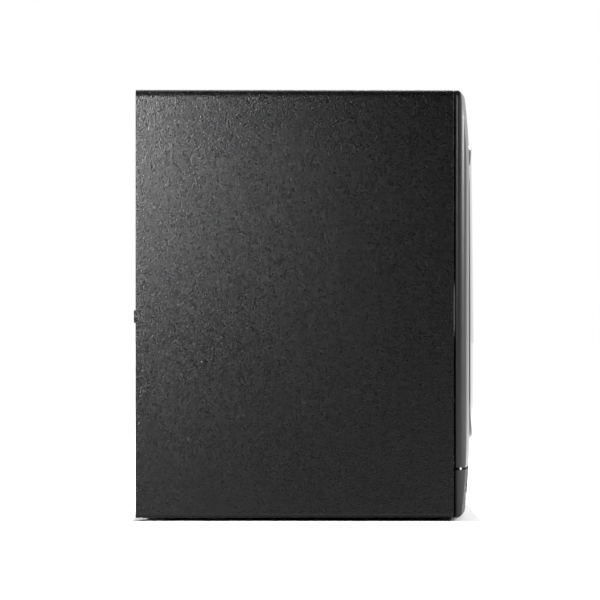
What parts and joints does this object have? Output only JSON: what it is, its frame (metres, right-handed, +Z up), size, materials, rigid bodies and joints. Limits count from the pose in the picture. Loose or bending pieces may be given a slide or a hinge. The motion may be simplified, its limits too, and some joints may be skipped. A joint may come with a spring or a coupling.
{
  "type": "nas enclosure",
  "caption": "Upright drive enclosure: folded steel cover, hinged front door with a raised gloss panel, sliding drive trays with levers, rear fan and power supply.",
  "frame": {"origin": "centre of the bounding box's bottom face, on the surface the feet stand on", "axes": "+X to the right seen from the front, -Y out of the front door, +Z up"},
  "size_m": [0.17, 0.229, 0.285],
  "materials": {
    "cover_coat": "coarse textured powder coat",
    "door_plastic": "smooth satin moulding",
    "gloss_panel": "high gloss moulding",
    "bezel_plastic": "matte moulding",
    "plated_steel": "zinc plated sheet",
    "bright_steel": "bright plated",
    "black_screw": "black plated",
    "rubber": "moulded rubber",
    "circuit_board": "solder mask",
    "socket_plastic": "moulded",
    "heat_sink": "anodised extrusion",
    "brass": "turned brass",
    "window": "dark clear plastic",
    "button_metal": "satin",
    "tray_plastic": "fine matte moulding",
    "lever_plastic": "satin moulding"
  },
  "bodies": {
    "chassis": {"outer_cover": "cover_coat", "base_plate": "plated_steel", "rear_panel": "plated_steel", "front_frame": "bezel_plastic", "lower_bezel": "bezel_plastic", "rubber_feet": "rubber", "thumb_screws": "black_screw", "cage_left_wall": "plated_steel", "cage_right_wall": "plated_steel", "cage_shelf": "plated_steel", "cage_roof": "plated_steel", "tray_rails": "bezel_plastic", "backplane": "circuit_board", "drive_sockets": "socket_plastic", "main_board": "circuit_board", "heat_sink": "heat_sink", "memory_module": "circuit_board", "clock_battery": "bright_steel", "board_standoffs": "brass", "network_sockets": "bright_steel", "rear_usb_sockets": "bright_steel", "fan_frame": "bezel_plastic", "fan_guard": "bright_steel", "fan_screws": "bright_steel", "power_supply_case": "plated_steel", "power_inlet": "bezel_plastic", "display_module": "socket_plastic", "display_window": "window", "control_board": "circuit_board", "push_switches": "bright_steel", "front_usb_socket": "bright_steel", "light_pipes": "window", "hinge_arm": "plated_steel", "hinge_pins": "bright_steel", "door_magnet": "bright_steel"},
    "door": {"door_shell": "door_plastic", "raised_panel": "gloss_panel", "latch_plate": "plated_steel"},
    "lock": {"lock_barrel": "bright_steel", "lock_cam": "bright_steel"},
    "fan_rotor": {"fan_rotor": "bezel_plastic"},
    "supply_rotor": {"power_supply_rotor": "bezel_plastic"},
    "rocker": {"power_rocker": "bezel_plastic"},
    "power_button": {"power_button": "button_metal"},
    "copy_button": {"copy_button": "bezel_plastic"},
    "tray_1_body": {"tray_1": "tray_plastic"},
    "tray_2_body": {"tray_2": "tray_plastic"},
    "tray_3_body": {"tray_3": "tray_plastic"},
    "tray_4_body": {"tray_4": "tray_plastic"},
    "tray_5_body": {"tray_5": "tray_plastic"},
    "tray_6_body": {"tray_6": "tray_plastic"},
    "lever_1_body": {"lever_1": "lever_plastic"},
    "lever_2_body": {"lever_2": "lever_plastic"},
    "lever_3_body": {"lever_3": "lever_plastic"},
    "lever_4_body": {"lever_4": "lever_plastic"},
    "lever_5_body": {"lever_5": "lever_plastic"},
    "lever_6_body": {"lever_6": "lever_plastic"}
  },
  "joints": [
    {"name": "door_hinge", "type": "hinge", "parent": "chassis", "child": "door", "pos_m": [-0.0806, -0.10125, 0.16], "axis": [0, 0, -1], "range_deg": [0, 115]},
    {"name": "lock_turn", "type": "hinge", "parent": "door", "child": "lock", "pos_m": [0.066, -0.10185, 0.273], "axis": [0, 1, 0], "range_deg": [0, 90]},
    {"name": "fan_spin", "type": "hinge", "parent": "chassis", "child": "fan_rotor", "pos_m": [0.0153, 0.09625, 0.161], "axis": [0, 1, 0], "continuous": true},
    {"name": "supply_fan_spin", "type": "hinge", "parent": "chassis", "child": "supply_rotor", "pos_m": [0.0173, 0.10125, 0.02585], "axis": [0, 1, 0], "continuous": true},
    {"name": "rocker_tilt", "type": "hinge", "parent": "chassis", "child": "rocker", "pos_m": [0.0699, 0.10525, 0.02585], "axis": [1, 0, 0], "range_deg": [0, 14]},
    {"name": "power_press", "type": "slide", "parent": "chassis", "child": "power_button", "axis": [0, 1, 0], "range_m": [0, 0.0015], "stiffness_N_per_m": 400},
    {"name": "copy_press", "type": "slide", "parent": "chassis", "child": "copy_button", "axis": [0, 1, 0], "range_m": [0, 0.0015], "stiffness_N_per_m": 400},
    {"name": "tray_1_slide", "type": "slide", "parent": "chassis", "child": "tray_1_body", "axis": [0, -1, 0], "range_m": [0, 0.0805]},
    {"name": "lever_1_swing", "type": "hinge", "parent": "tray_1_body", "child": "lever_1_body", "pos_m": [-0.019, -0.09085, 0.07275], "axis": [0, 0, -1], "range_deg": [0, 60]},
    {"name": "tray_2_slide", "type": "slide", "parent": "chassis", "child": "tray_2_body", "axis": [0, -1, 0], "range_m": [0, 0.0805]},
    {"name": "lever_2_swing", "type": "hinge", "parent": "tray_2_body", "child": "lever_2_body", "pos_m": [-0.019, -0.09085, 0.10825], "axis": [0, 0, -1], "range_deg": [0, 60]},
    {"name": "tray_3_slide", "type": "slide", "parent": "chassis", "child": "tray_3_body", "axis": [0, -1, 0], "range_m": [0, 0.0805]},
    {"name": "lever_3_swing", "type": "hinge", "parent": "tray_3_body", "child": "lever_3_body", "pos_m": [-0.019, -0.09085, 0.14375], "axis": [0, 0, -1], "range_deg": [0, 60]},
    {"name": "tray_4_slide", "type": "slide", "parent": "chassis", "child": "tray_4_body", "axis": [0, -1, 0], "range_m": [0, 0.0805]},
    {"name": "lever_4_swing", "type": "hinge", "parent": "tray_4_body", "child": "lever_4_body", "pos_m": [-0.019, -0.09085, 0.17925], "axis": [0, 0, -1], "range_deg": [0, 60]},
    {"name": "tray_5_slide", "type": "slide", "parent": "chassis", "child": "tray_5_body", "axis": [0, -1, 0], "range_m": [0, 0.0805]},
    {"name": "lever_5_swing", "type": "hinge", "parent": "tray_5_body", "child": "lever_5_body", "pos_m": [-0.019, -0.09085, 0.21475], "axis": [0, 0, -1], "range_deg": [0, 60]},
    {"name": "tray_6_slide", "type": "slide", "parent": "chassis", "child": "tray_6_body", "axis": [0, -1, 0], "range_m": [0, 0.0805]},
    {"name": "lever_6_swing", "type": "hinge", "parent": "tray_6_body", "child": "lever_6_body", "pos_m": [-0.019, -0.09085, 0.25025], "axis": [0, 0, -1], "range_deg": [0, 60]}
  ],
  "couplings": [
    {"joint": "tray_1_slide", "follows": "door_hinge", "m_per_rad": 0.04},
    {"joint": "lever_1_swing", "follows": "door_hinge", "ratio": 0.5},
    {"joint": "tray_2_slide", "follows": "door_hinge", "m_per_rad": 0.04},
    {"joint": "lever_2_swing", "follows": "door_hinge", "ratio": 0.5},
    {"joint": "tray_3_slide", "follows": "door_hinge", "m_per_rad": 0.04},
    {"joint": "lever_3_swing", "follows": "door_hinge", "ratio": 0.5},
    {"joint": "tray_4_slide", "follows": "door_hinge", "m_per_rad": 0.04},
    {"joint": "lever_4_swing", "follows": "door_hinge", "ratio": 0.5},
    {"joint": "tray_5_slide", "follows": "door_hinge", "m_per_rad": 0.04},
    {"joint": "lever_5_swing", "follows": "door_hinge", "ratio": 0.5},
    {"joint": "tray_6_slide", "follows": "door_hinge", "m_per_rad": 0.04},
    {"joint": "lever_6_swing", "follows": "door_hinge", "ratio": 0.5}
  ]
}
